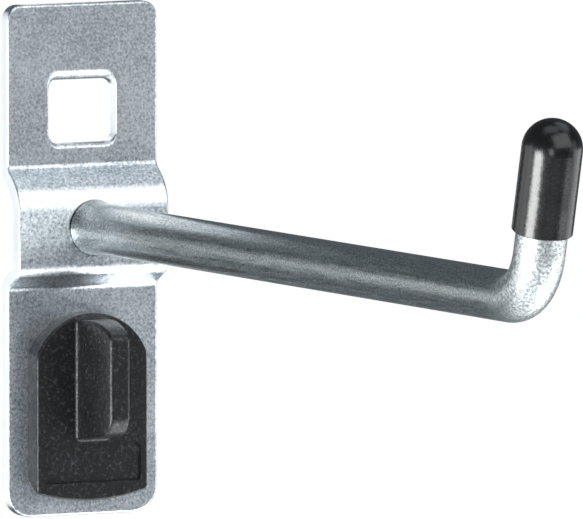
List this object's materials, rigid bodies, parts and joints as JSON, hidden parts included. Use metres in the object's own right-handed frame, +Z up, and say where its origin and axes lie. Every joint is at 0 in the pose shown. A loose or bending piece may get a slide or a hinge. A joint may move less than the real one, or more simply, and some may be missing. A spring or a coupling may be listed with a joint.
{
  "type": "pegboard hook",
  "caption": "Single-prong tool hook for a square-hole panel: bent steel back plate with a lanced tongue, riveted rod with an upturned capped end, and a snap-in locking clip.",
  "frame": {"origin": "centre of the lower panel hole, which takes the clip's plug, on the panel's front face", "axes": "+Z up; +Y into the panel; the rod runs towards -Y; +X to the right seen from the front"},
  "size_m": [0.02, 0.1278, 0.0613],
  "materials": {
    "plate_steel": "zinc plated, satin with a fine grain",
    "rod_steel": "zinc plated bar, bright with faint drawing lines",
    "cap_vinyl": "soft vinyl, semi-gloss",
    "clip_plastic": "moulded, satin with a fine texture"
  },
  "bodies": {
    "root": {"back_plate": "plate_steel", "hook_rod": "rod_steel", "end_cap": "cap_vinyl", "locking_clip": "clip_plastic"}
  },
  "joints": []
}
